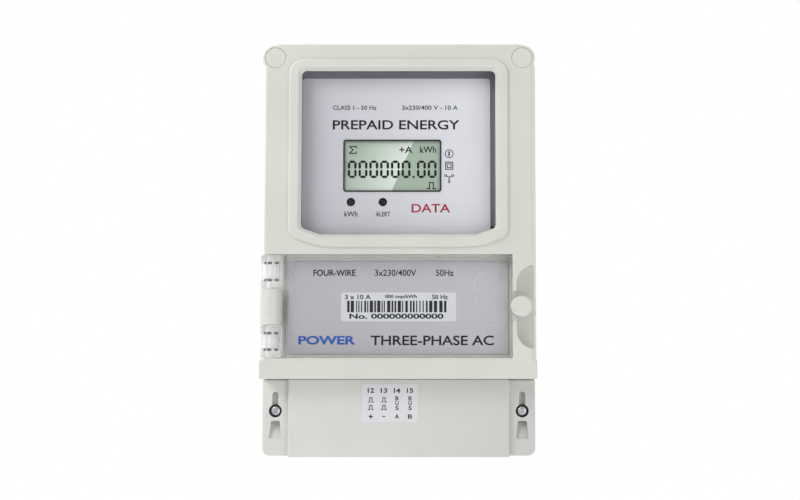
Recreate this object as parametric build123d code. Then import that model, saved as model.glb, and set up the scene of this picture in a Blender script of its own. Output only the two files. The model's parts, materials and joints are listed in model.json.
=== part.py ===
from build123d import *
import os

# Prepaid three-phase electricity meter, wall mounted.
# Millimetres. +X right, +Z up. The wall is the plane Y = 0 and the meter stands out from it along -Y.
# "out" below is a distance from the wall. Heights are from the middle of the back face.

# Case
HALF_WIDTH = 86.0  # at the rim
FRONT_HALF_WIDTH = 81.7  # the sides flare from here back to the rim
BASE_HALF_WIDTH = 84.6
BELT_HALF_WIDTH = 84.3
TOP = 128.4
BASE_TOP = TOP - 1.4
BOTTOM = -125.4
WALL = 2.4
SPLIT_OUT = 38.0  # base and front cover meet here, with the gasket between them
GASKET = 0.6
GASKET_BAND = 1.6
COVER_OUT = SPLIT_OUT + GASKET
FRONT_OUT = 73.0
BEZEL_OUT = 75.0
CHAMBER_BOTTOM = -77.7  # underside of the belt
BELT_TOP = -65.4

# Corner towers with the case screws under seal plugs
TOWER_X = 75.8
TOWER_Z = 119.2
TOWER_RADIUS = 8.0
PLUG_RADIUS = 6.3
LOWER_SCREW_X = 76.5
LOWER_SCREW_Z = -85.0
TAB_INNER_X = 70.4
CASE_BOSS_RADIUS = 5.2
SCREW_SEAT_OUT = COVER_OUT + 3.0

# Window and display
BEZEL = dict(half=67.2, top=118.3, shoulder=8.8, foot=47.5, bottom=2.1)
BEZEL_RADII = (9.0, 8.0, 40.0)
WINDOW = dict(half=59.4, top=110.9, shoulder=14.2, foot=47.5, bottom=10.0)
WINDOW_RADII = (3.0, 3.0, 5.0)
PANE_OUT = (68.0, FRONT_OUT - WALL - 0.2)
FACEPLATE = dict(x=(-59.8, 56.5), z=(7.0, 108.1))
FACEPLATE_OUT = (61.6, 62.4)
DISPLAY_X = (-34.0, 25.8)
DISPLAY_Z = (37.7, 69.4)
LAMP_X = (-29.6, -9.9)
LAMP_Z = 31.0
LAMP_RADIUS = 2.5

# Door, its recess and its hinge
RECESS_X = 69.6
RECESS_Z = (-65.2, -1.9)
RECESS_OUT = 62.0
HINGE_X = -77.8
HINGE_OUT = 66.2
HINGE_BAY_OUT = 58.4
KNUCKLE_Z = (-44.7, -22.9)
KNUCKLE_RADIUS = 6.7
PIN_RADIUS = 1.8
COLLAR_RADIUS = 6.3
COLLAR_HEIGHT = 5.2
ARM_RADIUS = 5.6
ARM_WALL = 1.3
DOOR_X = (-69.4, 69.1)
DOOR_Z = (-64.7, -2.4)
DOOR_THICK = 2.0
SKIRT = 1.6
SKIRT_OUT = 63.4
LATCH_X = 74.7
LATCH_Z = -33.6
LATCH_BOSS_RADIUS = 5.2
CAP_RADIUS = 6.3
EAR_OUT = (68.9, 71.2)
EAR_RADIUS = 8.8
SCALLOP_X = 71.8
SCALLOP_Z = (-59.5, -8.3)
SCALLOP_OUT = 58.4
RATING_PLATE = dict(x=(-67.4, 67.1), z=(-62.4, -5.8))
BARCODE_LABEL = dict(x=(-35.3, 35.4), z=(-42.6, -24.8))

# Terminal bay
COVER_EAR_OUT = 55.5
COVER_CENTRE_OUT = 59.0
COVER_HALF_WIDTH = 84.0
COVER_WALL = 2.2
COVER_CENTRE_HALF = 67.8
COVER_BACK_OUT = 30.4
COVER_TOP = CHAMBER_BOTTOM - 0.5
CABLE_OPENING_OUT = 45.0  # the cables come in below, between the wall and here
COVER_SCREW_X = 76.0
COVER_SCREW_Z = -97.4
COVER_SCREW_SEAT = 51.5
COVER_BOSS_RADIUS = 3.9
COVER_TUBE_RADIUS = 5.1
SLOT_TOP = COVER_SCREW_Z + 9.9
RAMP_Z = (COVER_SCREW_Z - 16.9, COVER_SCREW_Z - 6.0)
RAMP_HALF = (3.9, 2.7)  # at the foot and at the head
RAMP_DEPTH = (1.0, 6.0)
TERMINAL_LABEL = dict(x=(-22.5, 12.1), z=(-104.3, -80.8))
TERMINAL_PITCH = 15.5
TERMINAL_COUNT = 8
TERMINAL_OUT = 19.0
TERMINAL_X = [TERMINAL_PITCH * (i - (TERMINAL_COUNT - 1) / 2) for i in range(TERMINAL_COUNT)]
WIRE_RADIUS = 3.5
BLOCK = dict(x=(-66.0, 66.0), z=(-120.0, -80.2))
BLOCK_OUT = 44.0
BLOCK_SCREW_X = 62.7
BLOCK_SCREW_Z = -100.0
AUX_PITCH = 8.2
AUX_X = [-4.8 + AUX_PITCH * (i - 1.5) for i in range(4)]
AUX_OUT = 48.6
AUX_Z = (-95.0, -82.0)
AUX_WIRE_RADIUS = 1.6

# Boards
BOARD_OUT = 35.0
BOARD_THICK = 1.6
BOARD_X = (-76.0, 76.0)
BOARD_Z = (-70.0, 106.0)
BOARD_POST_X = 70.0
BOARD_POST_Z = (-62.0, 98.0)
DISPLAY_BOARD_OUT = 50.0
DISPLAY_BOARD_X = (-56.0, 53.0)
DISPLAY_BOARD_Z = (14.0, 104.0)

# Power parts
PHASE_X = [(TERMINAL_X[2 * i] + TERMINAL_X[2 * i + 1]) / 2 for i in range(3)]
STRAP_WIDTH = 6.0
STRAP_THICK = 2.0
RELAY_Z = (-45.0, -7.0)
RING_Z = (-70.0, -58.0)

# Fixing to the wall
FIXING_X = 75.0
FIXING_Z = -117.5
FIXING_RADIUS = 2.75
HANGER_Z = 103.0
HANGER_ENTRY_RADIUS = 4.75
HANGER_SLOT_RADIUS = 2.6
HANGER_THICK = 1.5
RIVET_X = 22.5
RIVET_Z = HANGER_Z + 1.5
RIVET_RADIUS = 1.5


def block(x, out, z):
    """A box between two X values, two distances out from the wall and two heights."""
    size = (x[1] - x[0], out[1] - out[0], z[1] - z[0])
    return Pos(sum(x) / 2, -sum(out) / 2, sum(z) / 2) * Box(*size)


def disc(x, z, radius, out):
    """A cylinder that points out from the wall."""
    return Pos(x, -sum(out) / 2, z) * Rot(90, 0, 0) * Cylinder(radius, out[1] - out[0])


def upright(x, out, radius, z):
    """A vertical cylinder."""
    return Pos(x, -out, sum(z) / 2) * Cylinder(radius, z[1] - z[0])


def slab(outline, out):
    """An outline drawn in X and Z, made solid between two distances out from the wall."""
    plane = Plane(origin=(0, -out[0], 0), x_dir=(1, 0, 0), z_dir=(0, -1, 0))
    return extrude(plane * outline, amount=out[1] - out[0], dir=(0, -1, 0))


def panel(x, z, radius):
    """A rounded rectangle between two X values and two heights."""
    return Pos(sum(x) / 2, sum(z) / 2) * RectangleRounded(x[1] - x[0], z[1] - z[0], radius)


def shield(radii, half, top, shoulder, foot, bottom):
    """A rectangle with sloped lower corners, rounded at its top, shoulders and feet."""
    right = [(half, top), (half, shoulder), (foot, bottom)]
    left = [(-x, z) for x, z in reversed(right)]
    outline = Polygon(*left, *right, align=None)
    for level, radius in zip((top, shoulder, bottom), radii):
        outline = fillet([v for v in outline.vertices() if abs(v.Y - level) < 0.01], radius)
    return outline


def widened(span, by):
    """A span made longer by the same amount at both ends."""
    return (span[0] - by, span[1] + by)


def grown(outline, by):
    """The measures of a shield outline, widened by the same amount all round."""
    return dict(
        half=outline["half"] + by,
        top=outline["top"] + by,
        shoulder=outline["shoulder"] - by / 2,
        foot=outline["foot"] + by / 4,
        bottom=outline["bottom"] - by,
    )


def along_out(edge):
    """Whether an edge runs mostly out from the wall."""
    direction = edge % 0.5
    return abs(direction.Y) > 0.9


def flared(front_half, rim_half, out, z, corner):
    """A block whose sides flare towards the wall, with rounded top corners."""
    outline = Polygon(
        (-rim_half, -out[0]), (-front_half, -out[1]), (front_half, -out[1]), (rim_half, -out[0]), align=None
    )
    body = extrude(Plane.XY.offset(z[0]) * outline, amount=z[1] - z[0])
    top_corners = [e for e in body.edges().filter_by(along_out) if e.center().Z > z[1] - 1]
    return fillet(top_corners, corner)


def screw(x, z, shank, head, seat, tip, head_height):
    """A screw that points at the wall: shank from its tip to its seat, and a rounded head."""
    dome = fillet(disc(x, z, head, (seat, seat + head_height)).edges().group_by(Axis.Y)[0], head_height * 0.4)
    reach, half_slot = head * 0.7, 0.4
    slot_out = (seat + head_height * 0.5, seat + head_height)
    slot = block((x - reach, x + reach), slot_out, (z - half_slot, z + half_slot))
    cross = block((x - half_slot, x + half_slot), slot_out, (z - reach, z + reach))
    return disc(x, z, shank, (tip, seat)) + dome - slot - cross


def case_screw_places():
    """The four case screws: two in the corner towers, two under the terminal cover."""
    right = ((TOWER_X, TOWER_Z), (LOWER_SCREW_X, LOWER_SCREW_Z))
    return [(side * x, z) for x, z in right for side in (-1, 1)]


def make_rear_base():
    side = BASE_HALF_WIDTH
    body = block((-side, side), (0, SPLIT_OUT), (BOTTOM, BASE_TOP))
    body = fillet([e for e in body.edges().filter_by(Axis.Y) if e.center().Z > 0], 9.5)
    body = fillet([e for e in body.edges().filter_by(Axis.Y) if e.center().Z < 0], 4.5)
    inner = side - WALL
    cavity = panel((-inner, inner), (CHAMBER_BOTTOM + WALL, BASE_TOP - WALL), 7.0)
    body -= slab(cavity, (WALL, SPLIT_OUT + 1))
    body -= block((-inner, inner), (WALL, SPLIT_OUT + 1), (BOTTOM - 1, CHAMBER_BOTTOM))
    body -= block((-side - 1, side + 1), (COVER_BACK_OUT - 0.4, SPLIT_OUT + 1), (BOTTOM - 1, CHAMBER_BOTTOM))
    rim = slab(panel((-HALF_WIDTH, HALF_WIDTH), (CHAMBER_BOTTOM, TOP), 10.0), (SPLIT_OUT - 4, SPLIT_OUT))
    body += rim - slab(cavity, (SPLIT_OUT - 5, SPLIT_OUT + 1))
    for x, z in case_screw_places():
        body += disc(x, z, CASE_BOSS_RADIUS, (WALL / 2, SPLIT_OUT))
    for x in (-COVER_SCREW_X, COVER_SCREW_X):
        body += disc(x, COVER_SCREW_Z, COVER_BOSS_RADIUS, (WALL / 2, 36.0))
    for x in (-FIXING_X, FIXING_X):
        body += disc(x, FIXING_Z, 6.0, (WALL / 2, 6.0))
    for x in (-BOARD_POST_X, BOARD_POST_X):
        for z in BOARD_POST_Z:
            body += disc(x, z, 3.5, (WALL / 2, BOARD_OUT))
    for x in (-BLOCK_SCREW_X, BLOCK_SCREW_X):
        body += disc(x, BLOCK_SCREW_Z, 2.6, (WALL / 2, WALL + 2.2))
    body += block((-19.0, 19.0), (WALL / 2, 11.0), (HANGER_Z - 13.0, HANGER_Z + 16.0))
    body -= block((-16.0, 16.0), (-1, 8.6), (HANGER_Z - 10.0, HANGER_Z + 13.0))
    body -= block((-26.0, 26.0), (-1, HANGER_THICK), (HANGER_Z - 13.0, HANGER_Z + 16.0))
    return cut_base_holes(body)


def cut_base_holes(body):
    for x, z in case_screw_places():
        body -= disc(x, z, 3.2, (SPLIT_OUT - 10.0, SPLIT_OUT + 1))
        body -= disc(x, z, 2.1, (20.0, SPLIT_OUT + 1))
    for x in (-COVER_SCREW_X, COVER_SCREW_X):
        body -= disc(x, COVER_SCREW_Z, 2.6, (26.0, 37.0))
        body -= disc(x, COVER_SCREW_Z, 1.7, (14.0, 37.0))
    for x in (-FIXING_X, FIXING_X):
        body -= disc(x, FIXING_Z, FIXING_RADIUS, (-1, 7.0))
    for x in (-BOARD_POST_X, BOARD_POST_X):
        for z in BOARD_POST_Z:
            body -= disc(x, z, 1.25, (BOARD_OUT - 9.0, BOARD_OUT + 1))
    for x in (-RIVET_X, RIVET_X):
        body -= disc(x, RIVET_Z, RIVET_RADIUS, (-1, WALL + 1))
    for x in (-BLOCK_SCREW_X, BLOCK_SCREW_X):
        body -= disc(x, BLOCK_SCREW_Z, 1.55, (WALL + 0.1, WALL + 3.0))
    slot_z = (CHAMBER_BOTTOM - 1, CHAMBER_BOTTOM + 3)
    for x in TERMINAL_X:
        body -= block((x - 4.0, x + 4.0), (TERMINAL_OUT - 2.0, TERMINAL_OUT + 2.0), slot_z)
    return body


def cover_outer():
    """The outside of the front cover: flared block, corner towers, belt and screw tabs."""
    body = flared(FRONT_HALF_WIDTH, HALF_WIDTH, (COVER_OUT, FRONT_OUT), (CHAMBER_BOTTOM, TOP - 0.6), 9.0)
    body = fillet(body.edges().group_by(Axis.Y)[0], 1.4)
    for x in (-TOWER_X, TOWER_X):
        tower = disc(x, TOWER_Z, TOWER_RADIUS, (COVER_OUT, FRONT_OUT))
        body += fillet(tower.edges().group_by(Axis.Y)[0], 1.4)
    belt = block((-BELT_HALF_WIDTH, BELT_HALF_WIDTH), (COVER_OUT, FRONT_OUT), (CHAMBER_BOTTOM, BELT_TOP))
    belt = fillet(belt.edges().filter_by(Axis.Y), 1.5)
    return body + fillet(belt.edges().group_by(Axis.Y)[0], 1.2)


def cover_hollow():
    """What is empty inside the front cover, leaving its walls, towers, recess and scallop standing."""
    hollow = flared(
        FRONT_HALF_WIDTH - WALL,
        HALF_WIDTH - WALL,
        (COVER_OUT - 0.1, FRONT_OUT - WALL),
        (CHAMBER_BOTTOM + WALL, TOP - 0.6 - WALL),
        6.6,
    )
    for x in (-TOWER_X, TOWER_X):
        hollow -= disc(x, TOWER_Z, TOWER_RADIUS, (COVER_OUT - 1, FRONT_OUT))
    walls_z = widened(RECESS_Z, WALL)
    hollow -= block((-HALF_WIDTH - 1, RECESS_X + WALL), (RECESS_OUT - WALL, FRONT_OUT), walls_z)
    hollow -= block((-HALF_WIDTH - 1, DOOR_X[0] + WALL + 1), (HINGE_BAY_OUT - WALL, FRONT_OUT), walls_z)
    scallop_wall = panel((SCALLOP_X - WALL, HALF_WIDTH + 30), widened(SCALLOP_Z, WALL), 13.0)
    hollow -= slab(scallop_wall, (SCALLOP_OUT - WALL, FRONT_OUT))
    return hollow


def make_front_cover():
    body = cover_outer() - cover_hollow()
    pad = slab(shield(BEZEL_RADII, **BEZEL), (FRONT_OUT - 1, BEZEL_OUT))
    body += fillet(pad.edges().group_by(Axis.Y)[0], 1.5)
    body -= slab(shield(WINDOW_RADII, **WINDOW), (FRONT_OUT - 10, BEZEL_OUT + 1))
    body -= window_bevel()
    body -= block((-HALF_WIDTH - 1, RECESS_X), (RECESS_OUT, FRONT_OUT + 1), RECESS_Z)
    body -= block((-HALF_WIDTH - 1, DOOR_X[0] + 1.2), (HINGE_BAY_OUT, FRONT_OUT + 1), RECESS_Z)
    body -= slab(panel((SCALLOP_X, HALF_WIDTH + 30), SCALLOP_Z, 11.5), (SCALLOP_OUT, FRONT_OUT + 1))
    body += latch_boss()
    body += knuckle()
    tab_x = (TAB_INNER_X, COVER_HALF_WIDTH - COVER_WALL - 0.6)
    tab = block(tab_x, (COVER_OUT, SCREW_SEAT_OUT), (LOWER_SCREW_Z - 5.6, CHAMBER_BOTTOM + 1))
    body += tab
    body += mirror(tab, Plane.YZ)
    return cut_cover_holes(body)


def window_bevel():
    """The sloped lip that leads from the bezel's face down to the window."""
    front = Plane(origin=(0, -BEZEL_OUT - 0.01, 0), x_dir=(1, 0, 0), z_dir=(0, -1, 0))
    back = Plane(origin=(0, -FRONT_OUT, 0), x_dir=(1, 0, 0), z_dir=(0, -1, 0))
    wide = shield(WINDOW_RADII, **grown(WINDOW, 2.0))
    narrow = shield(WINDOW_RADII, **WINDOW)
    return loft([back * narrow, front * wide])


def latch_boss():
    """The post in the scallop that the door's seal cap plugs into."""
    return disc(LATCH_X, LATCH_Z, LATCH_BOSS_RADIUS, (SCALLOP_OUT - 1, EAR_OUT[0] - 0.3))


def knuckle():
    """The case's own hinge knuckle, between the door's two arms."""
    barrel = upright(HINGE_X, HINGE_OUT, KNUCKLE_RADIUS, KNUCKLE_Z)
    root_x = (HINGE_X - KNUCKLE_RADIUS, HINGE_X + KNUCKLE_RADIUS)
    return barrel + block(root_x, (HINGE_BAY_OUT - 1, HINGE_OUT), KNUCKLE_Z)


def cut_cover_holes(body):
    for x in (-TOWER_X, TOWER_X):
        body -= disc(x, TOWER_Z, PLUG_RADIUS + 0.15, (FRONT_OUT - 2.8, FRONT_OUT + 1))
        body -= disc(x, TOWER_Z, PLUG_RADIUS - 1.0, (SCREW_SEAT_OUT, FRONT_OUT))
    for x, z in case_screw_places():
        body -= disc(x, z, 2.2, (COVER_OUT - 1, SCREW_SEAT_OUT + 0.1))
    notch = (LATCH_Z - EAR_RADIUS - 0.5, LATCH_Z + EAR_RADIUS + 0.5)
    body -= block((RECESS_X - 1, SCALLOP_X + 0.1), (EAR_OUT[0] - 0.5, FRONT_OUT + 1), notch)
    body -= disc(LATCH_X, LATCH_Z, 3.0, (EAR_OUT[0] - 7.0, EAR_OUT[0] + 1))
    body -= upright(HINGE_X, HINGE_OUT, PIN_RADIUS, RECESS_Z)
    return body


def make_case_gasket():
    outer = panel((-BASE_HALF_WIDTH, BASE_HALF_WIDTH), (CHAMBER_BOTTOM, BASE_TOP), 9.0)
    inner_half = BASE_HALF_WIDTH - GASKET_BAND
    inner = panel((-inner_half, inner_half), (CHAMBER_BOTTOM + GASKET_BAND, BASE_TOP - GASKET_BAND), 7.4)
    return slab(outer, (SPLIT_OUT, COVER_OUT)) - slab(inner, (SPLIT_OUT - 1, COVER_OUT + 1))


def make_window_pane():
    flange = slab(shield(WINDOW_RADII, **grown(WINDOW, 3.0)), PANE_OUT)
    raised = slab(shield(WINDOW_RADII, **grown(WINDOW, -0.15)), (PANE_OUT[1] - 0.5, FRONT_OUT + 0.2))
    return flange + raised


def make_seal_plugs():
    plugs = []
    for x in (-TOWER_X, TOWER_X):
        cap = disc(x, TOWER_Z, PLUG_RADIUS, (FRONT_OUT - 2.8, FRONT_OUT - 0.1))
        cap = fillet(cap.edges().group_by(Axis.Y)[0], 0.3)
        stem = disc(x, TOWER_Z, PLUG_RADIUS - 1.1, (FRONT_OUT - 9.0, FRONT_OUT - 1))
        plugs.append(cap + stem - disc(x, TOWER_Z, PLUG_RADIUS - 2.3, (FRONT_OUT - 10.0, FRONT_OUT - 2.8)))
    return Compound(plugs)


def make_case_screws():
    return Compound(
        [screw(x, z, 1.95, 3.6, SCREW_SEAT_OUT, SPLIT_OUT - 11.0, 2.4) for x, z in case_screw_places()]
    )


def make_case_inserts():
    out = (SPLIT_OUT - 10.0, SPLIT_OUT - 0.4)
    places = case_screw_places()
    return Compound([disc(x, z, 3.2, out) - disc(x, z, 2.0, (0, FRONT_OUT)) for x, z in places])


def make_hanger_plate():
    plate = slab(panel((-25.6, 25.6), (HANGER_Z - 12.6, HANGER_Z + 15.6), 3.0), (0, HANGER_THICK))
    plate -= disc(0, HANGER_Z, HANGER_ENTRY_RADIUS, (-1, 3))
    slot_top = HANGER_Z + 9.0
    plate -= block((-HANGER_SLOT_RADIUS, HANGER_SLOT_RADIUS), (-1, 3), (HANGER_Z, slot_top))
    plate -= disc(0, slot_top, HANGER_SLOT_RADIUS, (-1, 3))
    for x in (-RIVET_X, RIVET_X):
        plate -= disc(x, RIVET_Z, RIVET_RADIUS, (-1, 3))
    return plate


def make_hanger_rivets():
    rivets = []
    for x in (-RIVET_X, RIVET_X):
        head = disc(x, RIVET_Z, 2.6, (WALL, WALL + 1.2))
        rivets.append(disc(x, RIVET_Z, RIVET_RADIUS - 0.02, (0.1, WALL + 0.5)) + head)
    return Compound(rivets)


def make_faceplate():
    plate = slab(panel(FACEPLATE["x"], FACEPLATE["z"], 2.0), FACEPLATE_OUT)
    plate -= slab(panel(DISPLAY_X, DISPLAY_Z, 1.0), (FACEPLATE_OUT[0] - 1, FACEPLATE_OUT[1] + 1))
    for x in LAMP_X:
        plate -= disc(x, LAMP_Z, LAMP_RADIUS + 0.15, (FACEPLATE_OUT[0] - 1, FACEPLATE_OUT[1] + 1))
    return plate


def make_display_frame():
    """The white tray that carries the faceplate on the display board."""
    out = (DISPLAY_BOARD_OUT + BOARD_THICK, FACEPLATE_OUT[0])
    tray = block(DISPLAY_BOARD_X, out, DISPLAY_BOARD_Z)
    tray -= block(widened(DISPLAY_BOARD_X, -1.8), widened(out, 1), widened(DISPLAY_BOARD_Z, -1.8))
    for bar in (DISPLAY_Z[0] - 3.4, DISPLAY_Z[1] + 2.0):
        tray += block(widened(DISPLAY_BOARD_X, -1), (out[1] - 2.0, out[1]), (bar, bar + 1.4))
    return tray


def make_display_bezel():
    outer = panel(widened(DISPLAY_X, 0.4), widened(DISPLAY_Z, 0.4), 1.6)
    inner = panel(widened(DISPLAY_X, -0.5), widened(DISPLAY_Z, -0.5), 0.9)
    out = (FACEPLATE_OUT[1], FACEPLATE_OUT[1] + 0.4)
    return slab(outer, out) - slab(inner, (out[0] - 1, out[1] + 1))


def display_box(margin, out):
    return block(widened(DISPLAY_X, margin), out, widened(DISPLAY_Z, margin / 2))


def make_lcd_glass():
    return display_box(2.0, (58.6, 61.4))


def make_lcd_backlight():
    return display_box(2.0, (DISPLAY_BOARD_OUT + BOARD_THICK + 0.2, 58.4))


def make_lamp(x):
    """A 5 mm status lamp with its collar, dome and two legs."""
    dome_out = FACEPLATE_OUT[1] + 0.6
    lamp = disc(x, LAMP_Z, LAMP_RADIUS, (54.4, dome_out))
    lamp = fillet(lamp.edges().group_by(Axis.Y)[0], 2.2)
    lamp += disc(x, LAMP_Z, 2.9, (54.4, 55.4))
    for side in (-1.27, 1.27):
        leg_x = (x + side - 0.25, x + side + 0.25)
        lamp += block(leg_x, (DISPLAY_BOARD_OUT + BOARD_THICK, 55.0), (LAMP_Z - 0.25, LAMP_Z + 0.25))
    return lamp


def make_main_board():
    board = slab(panel(BOARD_X, BOARD_Z, 2.0), (BOARD_OUT, BOARD_OUT + BOARD_THICK))
    for x in (-BOARD_POST_X, BOARD_POST_X):
        for z in BOARD_POST_Z:
            board -= disc(x, z, 1.6, (BOARD_OUT - 1, BOARD_OUT + 3))
    return board


def display_post_places():
    x_low, x_high = DISPLAY_BOARD_X[0] + 5.0, DISPLAY_BOARD_X[1] - 5.0
    z_low, z_high = DISPLAY_BOARD_Z[0] + 5.0, DISPLAY_BOARD_Z[1] - 5.0
    return [(x_low, z_low), (x_high, z_low), (x_low, z_high), (x_high, z_high)]


def make_display_board():
    out = (DISPLAY_BOARD_OUT, DISPLAY_BOARD_OUT + BOARD_THICK)
    board = slab(panel(DISPLAY_BOARD_X, DISPLAY_BOARD_Z, 1.5), out)
    for x, z in display_post_places():
        board -= disc(x, z, 1.6, (DISPLAY_BOARD_OUT - 1, DISPLAY_BOARD_OUT + 3))
    return board


def make_board_spacers():
    out = (BOARD_OUT + BOARD_THICK, DISPLAY_BOARD_OUT)
    places = display_post_places()
    return Compound([disc(x, z, 3.0, out) - disc(x, z, 1.3, (0, FRONT_OUT)) for x, z in places])


def make_board_screws():
    seat = BOARD_OUT + BOARD_THICK
    posts = [(x, z) for x in (-BOARD_POST_X, BOARD_POST_X) for z in BOARD_POST_Z]
    screws = [screw(x, z, 1.2, 2.7, seat, seat - 8.0, 1.8) for x, z in posts]
    seat = DISPLAY_BOARD_OUT + BOARD_THICK
    screws += [screw(x, z, 1.2, 2.7, seat, seat - 8.0, 1.8) for x, z in display_post_places()]
    return Compound(screws)


def make_board_connector():
    """The pin header that joins the display board to the main board."""
    out = (BOARD_OUT + BOARD_THICK, DISPLAY_BOARD_OUT)
    socket = block((-12.0, 12.0), out, (20.0, 25.2))
    for i in range(9):
        x = -10.16 + 2.54 * i
        socket -= block((x - 0.5, x + 0.5), (out[1] - 3.0, out[1] + 1), (22.1, 23.1))
    return socket


def make_chip(x, z, width, height, legs):
    """A flat chip on the front of the main board, with legs along both long sides."""
    seat = BOARD_OUT + BOARD_THICK
    chip = block((x - width / 2, x + width / 2), (seat + 0.2, seat + 1.8), (z - height / 2, z + height / 2))
    pitch = (width - 1.2) / (legs - 1)
    for i in range(legs):
        leg_x = x - width / 2 + 0.6 + pitch * i
        leg_z = (z - height / 2 - 1.2, z + height / 2 + 1.2)
        chip += block((leg_x - 0.2, leg_x + 0.2), (seat, seat + 0.9), leg_z)
    return chip


def make_optocouplers():
    return Compound([make_chip(x, -60.0, 6.5, 5.0, 3) for x in (-30.0, -20.0, -10.0)])


def make_storage_capacitors():
    seat = BOARD_OUT + BOARD_THICK
    cans = []
    for x in (36.0, 51.0):
        can = disc(x, -28.0, 6.25, (seat, seat + 18.0))
        cans.append(fillet(can.edges().group_by(Axis.Y)[0], 0.8))
    return Compound(cans)


def make_backup_battery():
    """A half-AA lithium cell lying on the main board, with its positive tip."""
    axis_out = BOARD_OUT + BOARD_THICK + 7.25
    cell = upright(66.0, axis_out, 7.25, (-12.0, 13.0))
    cell = fillet(cell.edges(), 0.8)
    return cell + upright(66.0, axis_out, 2.0, (12.0, 14.5))


def make_power_transformer():
    """The laminated core, with a window either side of its middle limb."""
    core = block((36.0, 72.0), (WALL, 22.4), (-46.0, -16.0))
    for x in (42.0, 58.0):
        core -= block((x, x + 8.0), (WALL - 1, 24.0), (-40.0, -22.0))
    return core


def make_transformer_coil():
    coil = block((42.4, 65.6), (WALL + 0.2, 30.0), (-39.6, -22.4))
    coil = fillet(coil.edges().filter_by(Axis.Z), 3.0)
    return coil - block((49.8, 58.2), (0, 22.6), (-50, 0))


def make_relay(x):
    body = block((x - 14.0, x + 14.0), (WALL + 2.0, 28.0), RELAY_Z)
    body = fillet(body.edges().filter_by(Axis.Z), 1.0)
    for foot in (RELAY_Z[0] + 4.0, RELAY_Z[1] - 8.0):
        body += block((x - 6.0, x + 6.0), (WALL, WALL + 2.5), (foot, foot + 4.0))
    return body


def make_current_transformer(x):
    ring = upright(x, TERMINAL_OUT, 11.4, RING_Z) - upright(x, TERMINAL_OUT, 4.4, widened(RING_Z, 1))
    ring = fillet(ring.edges().group_by(Axis.Z)[0] + ring.edges().group_by(Axis.Z)[-1], 1.0)
    foot = block((x - 7.0, x + 7.0), (WALL, TERMINAL_OUT - 9.0), (RING_Z[0] + 2.0, RING_Z[1] - 2.0))
    return ring + foot


def strap(x, z):
    half = STRAP_WIDTH / 2
    return block((x - half, x + half), (TERMINAL_OUT - STRAP_THICK / 2, TERMINAL_OUT + STRAP_THICK / 2), z)


def clamp_top():
    return BLOCK["z"][0] + 28.0


def make_busbar(x):
    return strap(x, (clamp_top(), RELAY_Z[0]))


def make_neutral_busbar():
    left, right = TERMINAL_X[6], TERMINAL_X[7]
    low, high = clamp_top(), -62.0
    link_x = (left - STRAP_WIDTH / 2, right + STRAP_WIDTH / 2)
    link_out = (TERMINAL_OUT - STRAP_THICK / 2, TERMINAL_OUT + STRAP_THICK / 2)
    link = block(link_x, link_out, (high - STRAP_WIDTH, high))
    return strap(left, (low, high)) + strap(right, (low, high)) + link


def clamp_box(x, gap):
    half = 5.0 + gap
    low = BLOCK["z"][0] - (1.0 if gap else 0.0)
    return block((x - half, x + half), (12.0 - gap, 26.0 + gap), (low, clamp_top() + gap))


def clamp_screw_heights():
    return (BLOCK["z"][0] + 8.0, BLOCK["z"][0] + 19.0)


def make_terminal_block():
    body = block(BLOCK["x"], (WALL + 2.2, BLOCK_OUT), BLOCK["z"])
    body = fillet(body.edges().filter_by(Axis.Z), 1.5)
    tower_x = (AUX_X[0] - 6.0, AUX_X[-1] + 6.0)
    body += block(tower_x, (BLOCK_OUT - 1, 54.0), AUX_Z)
    for x in TERMINAL_X:
        body -= clamp_box(x, 0.1)
        body -= block((x - 3.4, x + 3.4), (TERMINAL_OUT - 1.4, TERMINAL_OUT + 1.4), (clamp_top() - 1, -80))
        for z in clamp_screw_heights():
            body -= disc(x, z, 3.3, (25.0, BLOCK_OUT + 1))
    for x in AUX_X:
        body -= block((x - 2.8, x + 2.8), (45.4, 51.8), (AUX_Z[0] - 1, AUX_Z[0] + 9.1))
        body -= disc(x, AUX_Z[0] + 5.0, 2.5, (51.0, 55.0))
    for x in (-BLOCK_SCREW_X, BLOCK_SCREW_X):
        body -= disc(x, BLOCK_SCREW_Z, 1.8, (0, 55.0))
        body -= disc(x, BLOCK_SCREW_Z, 3.2, (38.0, 55.0))
    barriers = [x + TERMINAL_PITCH / 2 for x in TERMINAL_X[:-1]]
    for x in barriers:
        body += block((x - 0.7, x + 0.7), (BLOCK_OUT - 1, BLOCK_OUT + 2.5), (BLOCK["z"][0], AUX_Z[0] - 4.0))
    return body


def make_main_terminals():
    clamps = []
    for x in TERMINAL_X:
        clamp = clamp_box(x, 0)
        clamp -= upright(x, TERMINAL_OUT, WIRE_RADIUS, (BLOCK["z"][0] - 1, BLOCK["z"][0] + 24.0))
        for z in clamp_screw_heights():
            clamp -= disc(x, z, 2.45, (TERMINAL_OUT, 27.0))
        clamps.append(clamp)
    return Compound(clamps)


def make_main_terminal_screws():
    tip = TERMINAL_OUT + WIRE_RADIUS + 0.3
    return Compound(
        [screw(x, z, 2.4, 3.1, 30.0, tip, 2.6) for x in TERMINAL_X for z in clamp_screw_heights()]
    )


def make_aux_terminals():
    clamps = []
    for x in AUX_X:
        clamp = block((x - 2.7, x + 2.7), (45.5, 51.7), (AUX_Z[0], AUX_Z[0] + 9.0))
        clamp -= upright(x, AUX_OUT, AUX_WIRE_RADIUS, (AUX_Z[0] - 1, AUX_Z[0] + 7.5))
        clamp -= disc(x, AUX_Z[0] + 5.0, 1.0, (AUX_OUT, 53.0))
        clamps.append(clamp)
    return Compound(clamps)


def make_aux_terminal_screws():
    tip = AUX_OUT + AUX_WIRE_RADIUS + 0.2
    return Compound([screw(x, AUX_Z[0] + 5.0, 0.95, 2.2, 51.9, tip, 1.5) for x in AUX_X])


def make_terminal_block_screws():
    xs = (-BLOCK_SCREW_X, BLOCK_SCREW_X)
    return Compound([screw(x, BLOCK_SCREW_Z, 1.5, 2.9, 38.0, WALL + 0.2, 2.2) for x in xs])


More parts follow.
